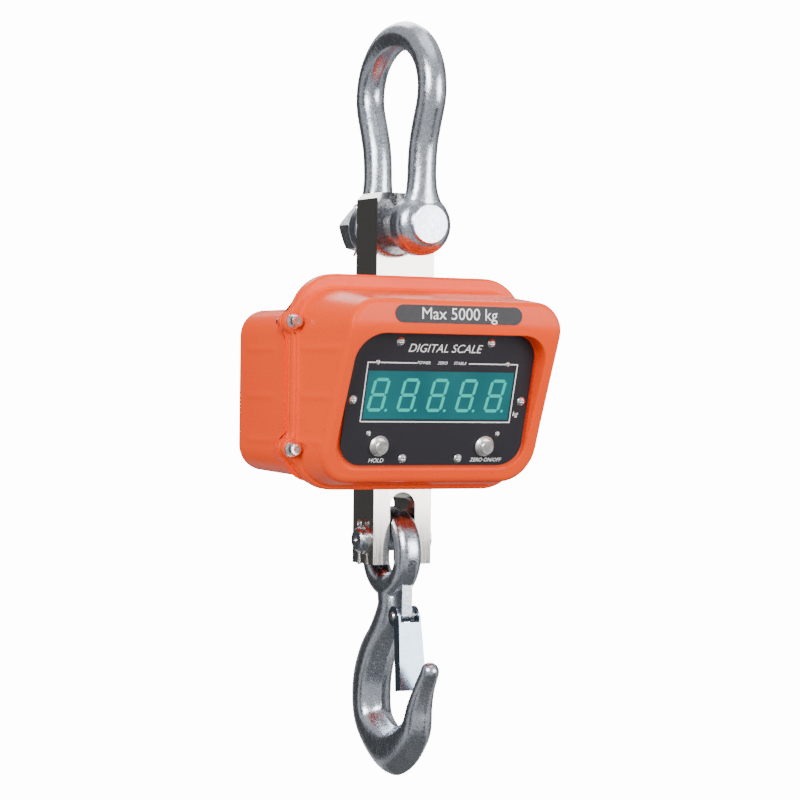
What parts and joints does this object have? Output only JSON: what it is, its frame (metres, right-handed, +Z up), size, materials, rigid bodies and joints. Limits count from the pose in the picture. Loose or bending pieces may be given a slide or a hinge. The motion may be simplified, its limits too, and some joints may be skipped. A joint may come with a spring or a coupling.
{
  "type": "hanging crane scale",
  "caption": "Electronic hanging scale: bow shackle on top, load cell bar through a cast housing with a digital display, eye hook with safety latch below.",
  "frame": {"origin": "inside top of the shackle bow, where the scale is hung", "axes": "+X to the right seen from the display side, -Y towards the display side, +Z up"},
  "size_m": [0.237, 0.2011, 0.6386],
  "materials": {
    "galvanised_forging": "zinc plated forging, glossy and grainy",
    "steel_parts": "bright zinc plated",
    "polished_cell": "polished nickel plate",
    "latch_sheet": "bright pressed sheet",
    "orange_paint": "semi-gloss enamel on cast aluminium",
    "black_panel": "satin black",
    "display_filter": "tinted window",
    "led_segments": "lit segments",
    "circuit_board": "solder mask",
    "battery_case": "moulded",
    "button_metal": "nickel plated",
    "brass_foil": "foil",
    "rubber_seal": "moulded"
  },
  "bodies": {
    "shackle": {"shackle_bow": "galvanised_forging", "shackle_pin": "galvanised_forging", "shackle_nut": "galvanised_forging", "shackle_split_pin": "steel_parts", "pin_spacers": "galvanised_forging"},
    "scale": {"load_cell": "polished_cell", "strain_gauges": "brass_foil", "gauge_covers": "steel_parts", "cell_cable": "rubber_seal", "hook_pin": "galvanised_forging", "hook_pin_washer": "steel_parts", "hook_split_pin": "steel_parts", "rear_housing": "orange_paint", "front_housing": "orange_paint", "housing_gasket": "rubber_seal", "housing_screws": "steel_parts", "housing_lock_washers": "steel_parts", "housing_washers": "steel_parts", "top_grommet": "rubber_seal", "bottom_grommet": "rubber_seal", "cell_bracket": "steel_parts", "bracket_screws": "steel_parts", "front_panel": "black_panel", "panel_gasket": "rubber_seal", "panel_screws": "steel_parts", "display_window": "display_filter", "capacity_plate": "black_panel", "display_board": "circuit_board", "led_digits": "led_segments", "status_leds": "led_segments", "board_spacers": "steel_parts", "board_screws": "steel_parts", "recall_switch": "button_metal", "tare_switch": "button_metal", "switch_nuts": "button_metal", "main_board": "circuit_board", "main_board_posts": "steel_parts", "display_ribbon": "battery_case", "battery": "battery_case", "battery_strap": "steel_parts", "battery_lead": "rubber_seal", "charge_socket": "steel_parts", "charge_socket_nut": "steel_parts"},
    "hook": {"load_hook": "galvanised_forging", "latch_pin": "steel_parts"},
    "latch": {"hook_latch": "latch_sheet", "latch_spring": "steel_parts"},
    "recall_key": {"recall_button": "button_metal"},
    "tare_key": {"tare_button": "button_metal"},
    "port_cap": {"charge_cap": "rubber_seal"}
  },
  "joints": [
    {"name": "shackle_swing", "type": "hinge", "parent": "shackle", "child": "scale", "pos_m": [0, 0, -0.1496], "axis": [0, 1, 0], "range_deg": [-90, 90]},
    {"name": "hook_swing", "type": "hinge", "parent": "scale", "child": "hook", "pos_m": [0, 0, -0.4146], "axis": [1, 0, 0], "range_deg": [-60, 60]},
    {"name": "latch_open", "type": "hinge", "parent": "hook", "child": "latch", "pos_m": [0, -0.024, -0.4782], "axis": [1, 0, 0], "range_deg": [0, 32], "stiffness_Nm_per_rad": 0.25, "springref_deg": -20.05},
    {"name": "recall_press", "type": "slide", "parent": "scale", "child": "recall_key", "axis": [0, 0.9659, 0.2588], "range_m": [0, 0.0015], "stiffness_N_per_m": 1500},
    {"name": "tare_press", "type": "slide", "parent": "scale", "child": "tare_key", "axis": [0, 0.9659, 0.2588], "range_m": [0, 0.0015], "stiffness_N_per_m": 1500},
    {"name": "cap_open", "type": "hinge", "parent": "scale", "child": "port_cap", "pos_m": [0.1112, 0.04, -0.2792], "axis": [0, -1, 0], "range_deg": [0, 100], "stiffness_Nm_per_rad": 0.004, "springref_deg": -17.19}
  ]
}
